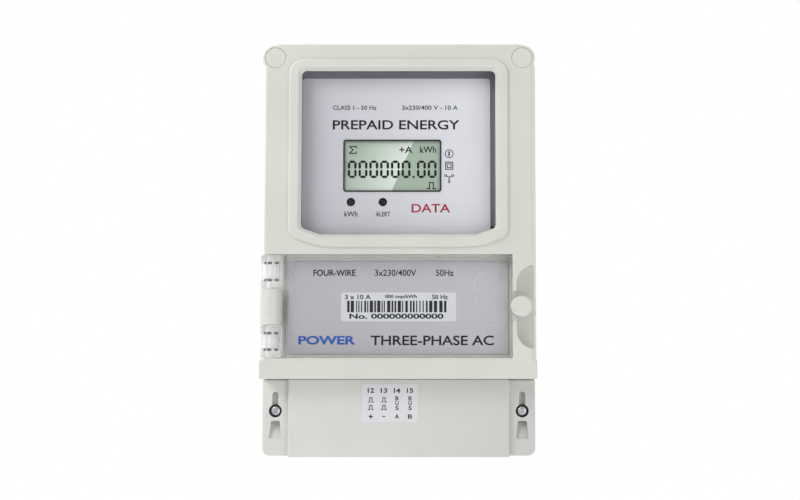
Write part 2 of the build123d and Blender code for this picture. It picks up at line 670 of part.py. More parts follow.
def make_terminal_cover():
    half, bottom_corner = COVER_HALF_WIDTH, 4.7
    ears = block((-half, half), (COVER_BACK_OUT, COVER_EAR_OUT), (BOTTOM + 0.6, COVER_TOP))
    ears = fillet([e for e in ears.edges().filter_by(Axis.Y) if e.center().Z < -100], bottom_corner)
    ears = fillet(ears.edges().group_by(Axis.Y)[0], 1.0)
    inner = half - COVER_WALL
    ears -= block((-inner, inner), (0, COVER_EAR_OUT - COVER_WALL), (BOTTOM + 2.8, 0))
    centre_x = (-COVER_CENTRE_HALF, COVER_CENTRE_HALF)
    centre = block(centre_x, (COVER_EAR_OUT - 3, COVER_CENTRE_OUT), (BOTTOM, COVER_TOP))
    centre = fillet(centre.edges().group_by(Axis.Y)[0].filter_by(Axis.Z), 0.8)
    body = ears + centre
    inner_x = (-COVER_CENTRE_HALF + COVER_WALL, COVER_CENTRE_HALF - COVER_WALL)
    body -= block(inner_x, (0, COVER_CENTRE_OUT - COVER_WALL), (BOTTOM + 2.8, 0))
    body -= block(inner_x, (0, CABLE_OPENING_OUT), (BOTTOM - 1, BOTTOM + 4))
    for side in (-1, 1):
        body = body + cover_ear_pockets(side, False)
        body = body - cover_ear_pockets(side, True)
    return body


def cover_ear_pockets(side, cutting):
    """The sealing screw's tube and the ramp pocket below it: their walls, or the space cut out of them."""
    x, face = side * COVER_SCREW_X, COVER_EAR_OUT
    if not cutting:
        tube = disc(x, COVER_SCREW_Z, COVER_TUBE_RADIUS, (36.4, face - 1))
        slot_z = (COVER_SCREW_Z, SLOT_TOP + 3.5)
        slot_wall = block((x - 3.6, x + 3.6), (COVER_SCREW_SEAT - 2.0, face - 1), slot_z)
        ramp_wall = block((x - 5.2, x + 5.2), (face - 8.0, face - 1), (RAMP_Z[0] - 1.6, RAMP_Z[1] + 1.4))
        return tube + slot_wall + ramp_wall
    hole = disc(x, COVER_SCREW_Z, 4.05, (COVER_SCREW_SEAT, face + 1))
    hole += disc(x, COVER_SCREW_Z, 1.65, (30.0, face))
    hole += block((x - 1.9, x + 1.9), (COVER_SCREW_SEAT, face + 1), (COVER_SCREW_Z, SLOT_TOP))
    hole += disc(x, SLOT_TOP, 1.9, (COVER_SCREW_SEAT, face + 1))
    return hole + ramp_pocket(x, face)


def ramp_pocket(x, face):
    """A pocket that widens downwards while its floor rises to the face."""
    foot, head = RAMP_HALF
    low, high = RAMP_Z
    outline = Polygon((x - head, high), (x + head, high), (x + foot, low), (x - foot, low), align=None)
    pocket = slab(fillet(outline.vertices(), 1.0), (face - RAMP_DEPTH[1], face + 1))
    below = Polygon((RAMP_DEPTH[1] - face, high), (RAMP_DEPTH[0] - face, low), (9.0 - face, low), align=None)
    return pocket - extrude(Plane.YZ.offset(x - 6.0) * below, amount=12.0)


def make_cover_screw(side):
    """A captive sealing screw: crossed head with a wire hole through it."""
    x = side * COVER_SCREW_X
    body = screw(x, COVER_SCREW_Z, 1.5, 2.8, COVER_SCREW_SEAT + 0.2, 18.0, 2.6)
    wire_hole = Pos(x, -(COVER_SCREW_SEAT + 1.0), COVER_SCREW_Z) * Rot(0, 90, 0) * Cylinder(0.5, 12.0)
    return body - wire_hole


def make_cover_inserts():
    xs = (-COVER_SCREW_X, COVER_SCREW_X)
    return Compound(
        [disc(x, COVER_SCREW_Z, 2.6, (26.0, 36.0)) - disc(x, COVER_SCREW_Z, 1.55, (0, 40.0)) for x in xs]
    )


def make_terminal_label():
    label = panel(TERMINAL_LABEL["x"], TERMINAL_LABEL["z"], 1.6)
    return slab(label, (COVER_CENTRE_OUT, COVER_CENTRE_OUT + 0.2))


def make_rating_plate():
    return slab(panel(RATING_PLATE["x"], RATING_PLATE["z"], 0.6), (RECESS_OUT, RECESS_OUT + 0.8))


def make_barcode_label():
    out = (RECESS_OUT + 0.8, RECESS_OUT + 1.0)
    return slab(panel(BARCODE_LABEL["x"], BARCODE_LABEL["z"], 1.5), out)


def make_hinge_pin():
    return upright(HINGE_X, HINGE_OUT, PIN_RADIUS - 0.01, (DOOR_Z[0] + 0.2, DOOR_Z[1] - 0.2))


def make_clear_door():
    """The clear lid: plate, skirt, two hinge arms and the ear that carries the seal cap."""
    plate_out = (FRONT_OUT - DOOR_THICK, FRONT_OUT)
    tub = block(DOOR_X, (SKIRT_OUT, FRONT_OUT), DOOR_Z)
    tub = fillet(tub.edges().filter_by(Axis.Y), 2.2)
    tub = fillet(tub.edges().group_by(Axis.Y)[0], 0.8)
    inside_x = (DOOR_X[0] + SKIRT, DOOR_X[1] - SKIRT)
    inside_z = (DOOR_Z[0] + SKIRT, DOOR_Z[1] - SKIRT)
    tub -= slab(panel(inside_x, inside_z, 0.8), (SKIRT_OUT - 1, plate_out[0]))
    arms = hinge_arm(KNUCKLE_Z[1] + 0.4, DOOR_Z[1]) + hinge_arm(DOOR_Z[0], KNUCKLE_Z[0] - 0.4)
    return tub + arms + door_ear() - door_cuts()


def hinge_arm(low, high):
    """A clear hollow barrel round the pin, with a solid wider collar at each end, joined to the door."""
    arm = upright(HINGE_X, HINGE_OUT, ARM_RADIUS, (low, high))
    arm -= upright(HINGE_X, HINGE_OUT, ARM_RADIUS - ARM_WALL, (low + COLLAR_HEIGHT, high - COLLAR_HEIGHT))
    for z in ((low, low + COLLAR_HEIGHT), (high - COLLAR_HEIGHT, high)):
        arm += upright(HINGE_X, HINGE_OUT, COLLAR_RADIUS, z)
        arm += block((HINGE_X, DOOR_X[0] + 1), (HINGE_OUT + 1.0, HINGE_OUT + 6.2), z)
    web_x = (HINGE_X + ARM_RADIUS - ARM_WALL / 2, DOOR_X[0] + 1)
    return arm + block(web_x, (HINGE_OUT + 0.6, HINGE_OUT + 2.6), (low, high))


def door_ear():
    reach = disc(LATCH_X, LATCH_Z, EAR_RADIUS, EAR_OUT)
    reach += block((DOOR_X[1] - 1, LATCH_X), EAR_OUT, (LATCH_Z - EAR_RADIUS, LATCH_Z + EAR_RADIUS))
    lip_x = (LATCH_X + EAR_RADIUS - 1.8, LATCH_X + EAR_RADIUS + 0.1)
    lip = block(lip_x, (EAR_OUT[0] - 4.0, EAR_OUT[1]), (LATCH_Z - 6.0, LATCH_Z + 6.0))
    return reach + fillet(lip.edges().filter_by(Axis.X), 0.9)


def door_cuts():
    bore = upright(HINGE_X, HINGE_OUT, PIN_RADIUS + 0.06, (DOOR_Z[0] - 1, DOOR_Z[1] + 1))
    cap_room = disc(LATCH_X, LATCH_Z, CAP_RADIUS + 0.25, (EAR_OUT[1], FRONT_OUT + 1))
    return bore + cap_room + disc(LATCH_X, LATCH_Z, 2.55, (EAR_OUT[0] - 1, EAR_OUT[1] + 1))


def make_door_seal_cap():
    """The round cap on the door's ear, with the short stem that plugs into the case."""
    cap = disc(LATCH_X, LATCH_Z, CAP_RADIUS, (EAR_OUT[1], FRONT_OUT + 0.4))
    cap = fillet(cap.edges().group_by(Axis.Y)[0], 0.7)
    return cap + disc(LATCH_X, LATCH_Z, 2.5, (EAR_OUT[0] - 4.2, EAR_OUT[1] + 0.5))


SHAPES = {
    "rear_base": make_rear_base,
    "front_cover": make_front_cover,
    "case_gasket": make_case_gasket,
    "window_pane": make_window_pane,
    "seal_plugs": make_seal_plugs,
    "case_screws": make_case_screws,
    "case_inserts": make_case_inserts,
    "hanger_plate": make_hanger_plate,
    "hanger_rivets": make_hanger_rivets,
    "faceplate": make_faceplate,
    "display_frame": make_display_frame,
    "display_bezel": make_display_bezel,
    "lcd_glass": make_lcd_glass,
    "lcd_backlight": make_lcd_backlight,
    "main_board": make_main_board,
    "display_board": make_display_board,
    "board_spacers": make_board_spacers,
    "board_screws": make_board_screws,
    "board_connector": make_board_connector,
    "optocouplers": make_optocouplers,
    "storage_capacitors": make_storage_capacitors,
    "backup_battery": make_backup_battery,
    "power_transformer": make_power_transformer,
    "transformer_coil": make_transformer_coil,
    "neutral_busbar": make_neutral_busbar,
    "terminal_block": make_terminal_block,
    "main_terminals": make_main_terminals,
    "main_terminal_screws": make_main_terminal_screws,
    "aux_terminals": make_aux_terminals,
    "aux_terminal_screws": make_aux_terminal_screws,
    "terminal_block_screws": make_terminal_block_screws,
    "terminal_cover": make_terminal_cover,
    "cover_inserts": make_cover_inserts,
    "terminal_label": make_terminal_label,
    "rating_plate": make_rating_plate,
    "barcode_label": make_barcode_label,
    "hinge_pin": make_hinge_pin,
    "clear_door": make_clear_door,
    "door_seal_cap": make_door_seal_cap,
}

os.makedirs("parts", exist_ok=True)
for name, make in SHAPES.items():
    export_step(make(), f"parts/{name}.step")

for name, x in zip(("power_lamp", "alarm_lamp"), LAMP_X):
    export_step(make_lamp(x), f"parts/{name}.step")

for name, side in (("cover_screw_left", -1), ("cover_screw_right", 1)):
    export_step(make_cover_screw(side), f"parts/{name}.step")

export_step(make_chip(-40.0, -20.0, 12.0, 12.0, 12), "parts/processor_chip.step")
export_step(make_chip(-8.0, -20.0, 10.0, 7.0, 10), "parts/metering_chip.step")

for phase, x in enumerate(PHASE_X):
    export_step(make_relay(x), f"parts/latching_relay_{phase + 1}.step")
    supply_x, load_x = TERMINAL_X[2 * phase], TERMINAL_X[2 * phase + 1]
    export_step(make_current_transformer(supply_x), f"parts/current_transformer_{phase + 1}.step")
    export_step(make_busbar(supply_x), f"parts/supply_busbar_{phase + 1}.step")
    export_step(make_busbar(load_x), f"parts/load_busbar_{phase + 1}.step")
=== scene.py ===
import json
import math
import random

import bmesh
import bpy
from mathutils import Matrix, Vector


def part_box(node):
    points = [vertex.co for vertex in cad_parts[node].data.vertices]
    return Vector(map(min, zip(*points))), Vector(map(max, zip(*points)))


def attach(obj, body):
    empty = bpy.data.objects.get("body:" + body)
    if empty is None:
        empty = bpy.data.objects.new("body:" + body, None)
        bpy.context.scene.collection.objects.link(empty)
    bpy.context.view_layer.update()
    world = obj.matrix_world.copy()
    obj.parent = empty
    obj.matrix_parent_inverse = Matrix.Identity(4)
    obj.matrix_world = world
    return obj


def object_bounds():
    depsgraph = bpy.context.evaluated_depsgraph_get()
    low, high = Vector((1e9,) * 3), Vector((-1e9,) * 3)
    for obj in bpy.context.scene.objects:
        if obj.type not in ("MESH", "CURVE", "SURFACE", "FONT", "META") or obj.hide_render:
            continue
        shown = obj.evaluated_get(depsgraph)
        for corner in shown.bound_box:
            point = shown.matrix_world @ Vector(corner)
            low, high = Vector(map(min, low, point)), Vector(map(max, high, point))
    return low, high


# The looks of a wall-mounted three-phase electricity meter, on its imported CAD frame.
# Metres, +X right, +Z up, the front faces -Y.

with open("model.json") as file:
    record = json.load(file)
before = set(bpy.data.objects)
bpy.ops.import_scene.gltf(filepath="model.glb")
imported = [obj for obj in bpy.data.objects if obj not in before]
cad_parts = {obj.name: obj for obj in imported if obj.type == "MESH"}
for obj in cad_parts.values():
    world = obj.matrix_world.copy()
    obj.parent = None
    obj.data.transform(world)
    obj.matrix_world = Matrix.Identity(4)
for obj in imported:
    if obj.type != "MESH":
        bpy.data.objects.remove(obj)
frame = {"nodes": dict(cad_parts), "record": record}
nodes = frame["nodes"]
cad_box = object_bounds()

MM = 0.001
PRINT_LIFT = 0.05 * MM  # print stands this far off the face under it
FRONT_WORLD = 0.30  # strength of the studio in front of the object, where 1 is white
FLOOR_HALF = 3.0
FLOOR_DROP = 0.45  # from the object's lowest point down to the floor
SENSOR_WIDTH, LENS, SHIFT_X = 36.0, 63.06, -0.0553
CAMERA_PLACE = (0.028, -0.923, -0.066)
CAMERA_AIM = (0.028, -0.073, 0.000569)

# Each lamp: name, place, the point it aims at, size and watts
LAMPS = (
    ("key_lamp", (-0.9, -1.1, 0.9), (0, 0, 0), (0.9, 0.9), 12.3),
    ("rim_lamp", (-1.2, -0.16, 1.0), (0, -0.07, 0), (0.5, 0.5), 9.0),
    ("fill_lamp", (1.0, -1.2, -0.15), (0, 0, 0), (1.2, 1.2), 8.4),
)

# Each word: text, its span of X, its span of Z and its boldness, from the middle of the node it is printed on
TITLE_WORDS = (
    ("PREPAID ENERGY", (-39.4, 39.1), (18.6, 24.5), 0.016),
    ("kWh", (-31.9, -23.8), (-35.6, -32.3), 0.014),
    ("ALERT", (-12.6, -3.6), (-35.5, -32.6), 0.014),
)
CLASS_WORDS = (
    ("CLASS 1 - 50 Hz", (-39.4, -12.4), (30.9, 33.7), 0.016),
    ("3x230/400 V - 10 A", (3.4, 38.1), (30.9, 33.7), 0.016),
)
DISPLAY_WORDS = (
    ("kWh", (17.0, 27.2), (8.1, 12.2), 0.014),
    ("+A", (4.2, 12.4), (8.0, 12.2), 0.014),
)
RATING_WORDS = (
    ("FOUR-WIRE", (-52.3, -26.3), (19.4, 23.3), 0.022),
    ("3x230/400V", (-14.5, 10.9), (19.4, 23.3), 0.012),
    ("50Hz", (23.0, 33.9), (19.4, 23.3), 0.012),
    ("THREE-PHASE AC", (-16.9, 58.5), (-23.1, -17.1), 0.018),
)
BARCODE_WORDS = (
    ("3 x 10 A", (-33.0, -17.1), (4.7, 7.5), 0.022),
    ("000 imp/kWh", (-8.4, 11.2), (4.7, 7.5), 0.022),
    ("50 Hz", (20.5, 30.2), (4.7, 7.5), 0.022),
    ("No. 000000000000", (-30.2, 27.5), (-7.3, -4.1), 0.03),
)
SUM_SIGN = (
    (-22.4, 11.2),
    (-22.4, 12.1),
    (-26.5, 12.1),
    (-24.4, 10.0),
    (-26.5, 7.9),
    (-22.4, 7.9),
    (-22.4, 8.8),
)
PULSE_SIGN = ((21.4, -14.2), (23.0, -14.2), (23.0, -10.3), (25.3, -10.3), (25.3, -14.2), (26.9, -14.2))


# ---------------------------------------------------------------- materials

class Shader:
    """A material whose Principled shader is fed by short chains of procedural nodes."""

    def __init__(self, name):
        self.material = bpy.data.materials.new(name)
        self.material.use_nodes = True
        self.tree = self.material.node_tree
        self.bsdf = self.tree.nodes["Principled BSDF"]
        self.output = self.tree.nodes["Material Output"]
        self.place = self.add("ShaderNodeTexCoord").outputs["Object"]

    def add(self, kind, **settings):
        node = self.tree.nodes.new(kind)
        for key, value in settings.items():
            setattr(node, key, value)
        return node

    def link(self, source, target):
        self.tree.links.new(source, target)

    def noise(self, scale, detail=3.0, roughness=0.5, stretch=(1, 1, 1)):
        """Noise whose scale counts features per metre."""
        mapping = self.add("ShaderNodeMapping")
        mapping.inputs["Scale"].default_value = stretch
        self.link(self.place, mapping.inputs["Vector"])
        texture = self.add("ShaderNodeTexNoise")
        texture.inputs["Scale"].default_value = scale
        texture.inputs["Detail"].default_value = detail
        texture.inputs["Roughness"].default_value = roughness
        self.link(mapping.outputs["Vector"], texture.inputs["Vector"])
        return texture.outputs["Fac"]

    def ramp(self, value, stops):
        """A colour or grey ramp through (position, colour) stops."""
        ramp = self.add("ShaderNodeValToRGB")
        elements = ramp.color_ramp.elements
        while len(elements) < len(stops):
            elements.new(0.5)
        for element, (position, colour) in zip(elements, stops):
            element.position = position
            element.color = colour if len(colour) == 4 else (*colour, 1)
        self.link(value, ramp.inputs["Fac"])
        return ramp.outputs["Color"]

    def mix(self, factor, first, second):
        mix = self.add("ShaderNodeMix", data_type="RGBA")
        for value, socket in ((factor, mix.inputs[0]), (first, mix.inputs[6]), (second, mix.inputs[7])):
            if isinstance(value, bpy.types.NodeSocket):
                self.link(value, socket)
            elif isinstance(value, tuple):
                socket.default_value = (*value[:3], 1)
            else:
                socket.default_value = value
        return mix.outputs[2]

    def edges(self, radius):
        """1 on outer edges sharper than this radius, falling to 0 on flat stretches."""
        bevel = self.add("ShaderNodeBevel", samples=4)
        bevel.inputs["Radius"].default_value = radius
        normal = self.add("ShaderNodeNewGeometry").outputs["Normal"]
        dot = self.add("ShaderNodeVectorMath", operation="DOT_PRODUCT")
        self.link(bevel.outputs["Normal"], dot.inputs[0])
        self.link(normal, dot.inputs[1])
        return self.ramp(dot.outputs["Value"], [(0.93, (1, 1, 1)), (0.995, (0, 0, 0))])

    def along(self, direction, start, end):
        """0 to 1 along a direction, between two distances from the origin."""
        dot = self.add("ShaderNodeVectorMath", operation="DOT_PRODUCT")
        self.link(self.place, dot.inputs[0])
        dot.inputs[1].default_value = direction
        span = self.add("ShaderNodeMapRange")
        span.inputs["From Min"].default_value = start
        span.inputs["From Max"].default_value = end
        self.link(dot.outputs["Value"], span.inputs["Value"])
        return span.outputs["Result"]

    def bump(self, height, strength, distance):
        bump = self.add("ShaderNodeBump")
        bump.inputs["Strength"].default_value = strength
        bump.inputs["Distance"].default_value = distance
        self.link(height, bump.inputs["Height"])
        self.link(bump.outputs["Normal"], self.bsdf.inputs["Normal"])

    def set(self, **values):
        for key, value in values.items():
            self.bsdf.inputs[key.replace("_", " ")].default_value = value


def greys(*stops):
    """Ramp stops whose colours are greys."""
    return [(position, (level, level, level)) for position, level in stops]


def scaled(colour, factor):
    return tuple(min(1.0, c * factor) for c in colour)


def moulded_plastic(name, colour, rough=0.42, grain=2600, wear=0.35, depth=0.00002, right=1.0):
    """Moulded plastic: faint flow mottling, satin spark texture, and paler rubbed edges.
    right is a painted shade: towards +X the colour is scaled by it, standing in for light that falls off to
    the right."""
    shader = Shader(name)
    mottle = shader.noise(26, 4)
    tint = shader.ramp(mottle, [(0.3, scaled(colour, 0.965)), (0.7, scaled(colour, 1.02))])
    fleck = shader.ramp(shader.noise(900, 2), greys((0.44, 0.0), (0.72, 0.10)))
    tint = shader.mix(fleck, tint, scaled(colour, 0.88))
    # painted shade: the colour grows darker towards +X, where the lamps light the moulding less
    if right != 1.0:
        tint = shader.mix(shader.along((1, 0, 0), -0.01, 0.084), tint, scaled(colour, right))
    worn = shader.mix(shader.edges(0.0007), (0, 0, 0), (wear, wear, wear))
    shader.link(shader.mix(worn, tint, scaled(colour, 1.12)), shader.bsdf.inputs["Base Color"])
    gloss = shader.ramp(shader.noise(140, 4), greys((0.3, rough - 0.05), (0.7, rough + 0.07)))
    shader.link(gloss, shader.bsdf.inputs["Roughness"])
    shader.set(IOR=1.5)
    shader.bump(shader.noise(grain, 2, 0.6), 0.22, depth)
    return shader.material


def metal(name, colour, rough=0.3, brush=(1, 1, 1), stain=0.8):
    """Plated or rolled metal: fine brushing, uneven gloss and dulled patches."""
    shader = Shader(name)
    patches = shader.noise(180, 5, 0.6)
    tint = shader.ramp(patches, [(0.35, scaled(colour, stain)), (0.65, colour)])
    bright = shader.mix(shader.edges(0.0003), tint, scaled(colour, 1.25))
    shader.link(bright, shader.bsdf.inputs["Base Color"])
    lines = shader.noise(1800, 3, 0.6, brush)
    gloss = shader.ramp(lines, greys((0.3, rough - 0.1), (0.7, rough + 0.14)))
    shader.link(gloss, shader.bsdf.inputs["Roughness"])
    shader.set(Metallic=1.0)
    shader.bump(lines, 0.25, 0.00001)
    return shader.material


def clear_plastic(name, tint, ior, rough=0.03, milky=None):
    """Clear moulded plastic that lets the lamps through, greyer edge-on, with faint haze and flow lines.
    milky is a span of X: clear at its start, clouded from its end on."""
    shader = Shader(name)
    shader.set(Transmission_Weight=1.0, IOR=ior)
    if milky:
        cloud = shader.ramp(shader.along((1, 0, 0), *milky), greys((0.0, 1.0), (1.0, 0.74)))
        shader.link(cloud, shader.bsdf.inputs["Transmission Weight"])
    facing = shader.add("ShaderNodeLayerWeight")
    facing.inputs["Blend"].default_value = 0.5
    edge = shader.ramp(facing.outputs["Facing"], greys((0.45, 0.0), (0.95, 1.0)))
    shader.link(shader.mix(edge, tint, scaled(tint, 0.62)), shader.bsdf.inputs["Base Color"])
    haze = shader.ramp(shader.noise(60, 5, 0.6), greys((0.35, rough), (0.75, rough + 0.04)))
    shader.link(haze, shader.bsdf.inputs["Roughness"])
    shader.bump(shader.noise(30, 2, 0.4), 0.05, 0.0002)
    clear = shader.add("ShaderNodeBsdfTransparent")
    clear.inputs["Color"].default_value = (*scaled(tint, 0.97), 1)
    mix = shader.add("ShaderNodeMixShader")
    path = shader.add("ShaderNodeLightPath")
    lamp_ray = shader.add("ShaderNodeMath", operation="MAXIMUM")
    shader.link(path.outputs["Is Shadow Ray"], lamp_ray.inputs[0])
    shader.link(path.outputs["Is Diffuse Ray"], lamp_ray.inputs[1])
    shader.link(lamp_ray.outputs["Value"], mix.inputs["Fac"])
    shader.link(shader.bsdf.outputs["BSDF"], mix.inputs[1])
    shader.link(clear.outputs["BSDF"], mix.inputs[2])
    shader.link(mix.outputs["Shader"], shader.output.inputs["Surface"])
    return shader.material


def film_surface(shader, tint, speck):
    """The halftone speckle, satin gloss and fine tooth that every printed sheet has."""
    speckle = shader.ramp(shader.noise(5200, 1), greys((0.4, 0.0), (0.7, 0.14)))
    shader.link(shader.mix(speckle, tint, speck), shader.bsdf.inputs["Base Color"])
    gloss = shader.ramp(shader.noise(300, 3), greys((0.3, 0.36), (0.7, 0.48)))
    shader.link(gloss, shader.bsdf.inputs["Roughness"])
    shader.bump(shader.noise(3800, 2), 0.12, 0.00001)
    return shader.material


def printed_film(name, colour, right_colour=None, fade=0.03):
    """Satin printed sheet whose tone drifts slowly; where right_colour is given, a painted shade leaves the
    left darker and the right lighter.
    """
    shader = Shader(name)
    drift = shader.noise(9, 2)
    tint = shader.ramp(drift, [(0.3, scaled(colour, 1 - fade)), (0.7, scaled(colour, 1 + fade))])
    if right_colour:
        # painted shade: darker to the left, lighter towards right_colour on the right
        tint = shader.mix(shader.along((0.97, 0.0, 0.24), -0.045, 0.062), tint, right_colour)
    return film_surface(shader, tint, scaled(right_colour or colour, 1.1))


def display_cell(name, node):
    """The display's reflector: pale green, with a painted gloss that lightens it towards a slanted line on
    its left part, and a painted shadow under its top edge.
    """
    low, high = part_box(node)
    middle, half = (low + high) / 2, (high - low) / 2
    shader = Shader(name)
    normal = Vector((0.917, 0.0, -0.399))
    line = normal.dot(middle) + 0.2 * half.x * normal.x
    painted_gloss = shader.along(normal, line - 1.25 * half.x, line)
    # painted gloss: left of the slanted line the green is painted lighter towards the line
    left = shader.ramp(painted_gloss, [(0.25, (0.40, 0.49, 0.395)), (1.0, (0.80, 0.86, 0.79))])
    side = shader.along(normal, line - 0.1 * MM, line + 0.1 * MM)
    tint = shader.mix(side, left, (0.385, 0.48, 0.38))
    # painted shadow: the bezel's shade darkens the top few millimetres
    shade = shader.along((0, 0, 1), high.z - 6.5 * MM, high.z - 1.0 * MM)
    shade = shader.ramp(shade, greys((0.0, 0.0), (0.55, 0.12), (1.0, 0.62)))
    tint = shader.mix(shade, tint, (0.19, 0.24, 0.20))
    return film_surface(shader, tint, (0.52, 0.60, 0.53))


def ink(name, colour, rough=0.5):
    """Screen-printed ink with slightly uneven cover."""
    shader = Shader(name)
    cover = shader.ramp(shader.noise(2400, 3), [(0.3, colour), (0.75, tuple(c + 0.015 for c in colour))])
    shader.link(cover, shader.bsdf.inputs["Base Color"])
    gloss = shader.ramp(shader.noise(900, 2), greys((0.3, rough - 0.05), (0.7, rough + 0.08)))
    shader.link(gloss, shader.bsdf.inputs["Roughness"])
    shader.set(Specular_IOR_Level=0.2)
    shader.bump(shader.noise(2400, 3), 0.15, 0.00001)
    return shader.material


MATERIALS = {
    "case_plastic": moulded_plastic("case_plastic", (0.66, 0.66, 0.615)),
    "base_plastic": moulded_plastic("base_plastic", (0.58, 0.59, 0.56)),
    # cover_plastic: right=0.86 is painted shade, darker towards the right side
    "cover_plastic": moulded_plastic("cover_plastic", (0.665, 0.664, 0.636), rough=0.45, right=0.86),
    "clear_plastic": clear_plastic("clear_plastic", (0.985, 0.992, 0.995), 1.30, milky=(-0.0700, -0.0712)),
    "soft_rubber": moulded_plastic("soft_rubber", (0.03, 0.03, 0.03), rough=0.7, wear=0.1),
    "zinc_steel": metal("zinc_steel", (0.80, 0.83, 0.90), 0.28),
    "brass": metal("brass", (0.75, 0.56, 0.25), 0.32),
    "copper": metal("copper", (0.86, 0.45, 0.28), 0.34, (1, 1, 0.1)),
    # faceplate_print: the change from left to right is painted shade from the window frame and the lamps
    "faceplate_print": printed_film("faceplate_print", (0.57, 0.55, 0.60), (0.79, 0.79, 0.825)),
    "white_plastic": moulded_plastic("white_plastic", (0.72, 0.72, 0.71)),
    "black_plastic": moulded_plastic("black_plastic", (0.012, 0.012, 0.013), rough=0.35, wear=0.05),
    "display_cell": display_cell("display_cell", "lcd_glass"),
    "lamp_red": moulded_plastic("lamp_red", (0.008, 0.001, 0.002), rough=0.10, wear=0.05),
    "board_laminate": moulded_plastic("board_laminate", (0.015, 0.13, 0.05), rough=0.3, grain=5000, wear=0.2),
    "chip_resin": moulded_plastic("chip_resin", (0.02, 0.02, 0.022), rough=0.55, wear=0.1),
    "can_aluminium": metal("can_aluminium", (0.16, 0.18, 0.26), 0.35),
    "battery_sleeve": moulded_plastic("battery_sleeve", (0.04, 0.2, 0.1), rough=0.25),
    "core_steel": metal("core_steel", (0.22, 0.22, 0.24), 0.45, (1, 8, 1), 0.6),
    "coil_tape": moulded_plastic("coil_tape", (0.6, 0.46, 0.09), rough=0.3),
    "ring_resin": moulded_plastic("ring_resin", (0.02, 0.05, 0.2), rough=0.4),
    "relay_plastic": moulded_plastic("relay_plastic", (0.03, 0.03, 0.035), rough=0.3),
    "block_resin": moulded_plastic("block_resin", (0.022, 0.02, 0.02), rough=0.5, wear=0.25),
    "paper_label": printed_film("paper_label", (0.70, 0.70, 0.73), fade=0.015),
}
# rating_print carries the same painted left-to-right shade, milder
RATING_PRINT = printed_film("rating_print", (0.49, 0.475, 0.505), (0.55, 0.545, 0.565))
PANE_PLASTIC = clear_plastic("pane_plastic", (0.985, 0.99, 0.995), 1.24, 0.02)
RIDGE_PLASTIC = clear_plastic("ridge_plastic", (0.97, 0.97, 0.98), 1.42, 0.30)
INKS = {
    "black_ink": ink("black_ink", (0.012, 0.012, 0.014)),
    "grey_ink": ink("grey_ink", (0.045, 0.045, 0.05)),
    "red_ink": ink("red_ink", (0.47, 0.012, 0.055)),
    "blue_ink": ink("blue_ink", (0.03, 0.12, 0.48)),
    "lcd_ink": ink("lcd_ink", (0.004, 0.006, 0.004), 0.4),
}


def dress_cad_nodes():
    """Each CAD node takes the material of its record slot."""
    slots = {entry["node"]: entry["material_slot"] for entry in frame["record"]["subparts"]}
    for name, obj in nodes.items():
        obj.data.materials.clear()
        obj.data.materials.append(MATERIALS[slots[name]])
    nodes["window_pane"].data.materials[0] = PANE_PLASTIC
    nodes["rating_plate"].data.materials[0] = RATING_PRINT


# ---------------------------------------------------------------- printed pieces

